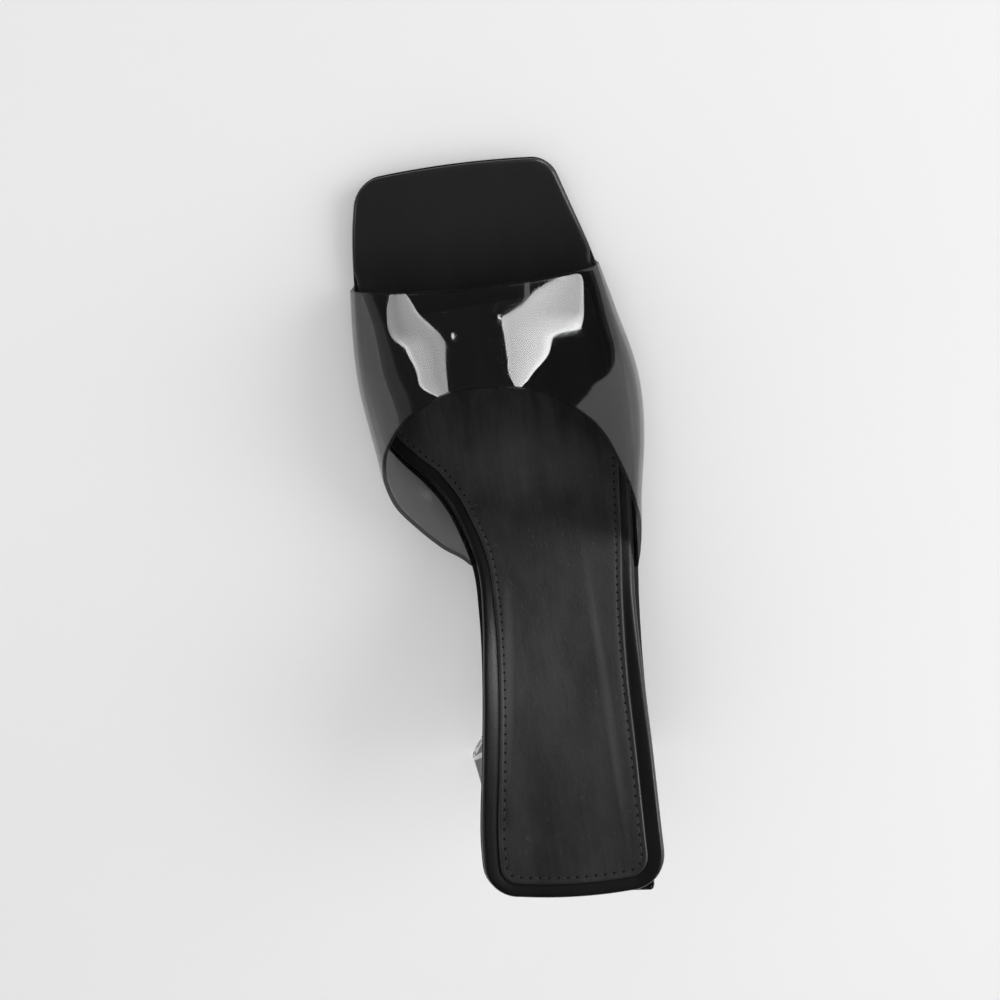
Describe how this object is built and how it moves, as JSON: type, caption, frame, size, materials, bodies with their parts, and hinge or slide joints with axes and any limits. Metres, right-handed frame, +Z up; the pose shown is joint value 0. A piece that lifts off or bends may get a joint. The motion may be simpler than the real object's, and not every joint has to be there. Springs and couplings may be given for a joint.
{
  "type": "heeled mule",
  "caption": "Right open-toe mule: smoke-tinted clear band over a black padded footbed with a square toe, on a high flared block heel.",
  "frame": {"origin": "middle of the shoe's plan, on the floor", "axes": "+Y towards the toe, +X towards the outer side, +Z up"},
  "size_m": [0.0962, 0.2347, 0.0869],
  "materials": {
    "outsole": "satin black edge",
    "footbed": "smooth black leather, rolled rim",
    "sock": "smooth black leather, stitched round its edge",
    "upper": "glossy smoke-tinted clear vinyl",
    "heel": "polished smoke-tinted clear plastic",
    "top_piece": "paler smoke-tinted clear plastic"
  },
  "bodies": {
    "root": {"outsole": "outsole", "footbed": "footbed", "sock": "sock", "upper": "upper", "heel": "heel", "top_piece": "top_piece"}
  },
  "joints": []
}
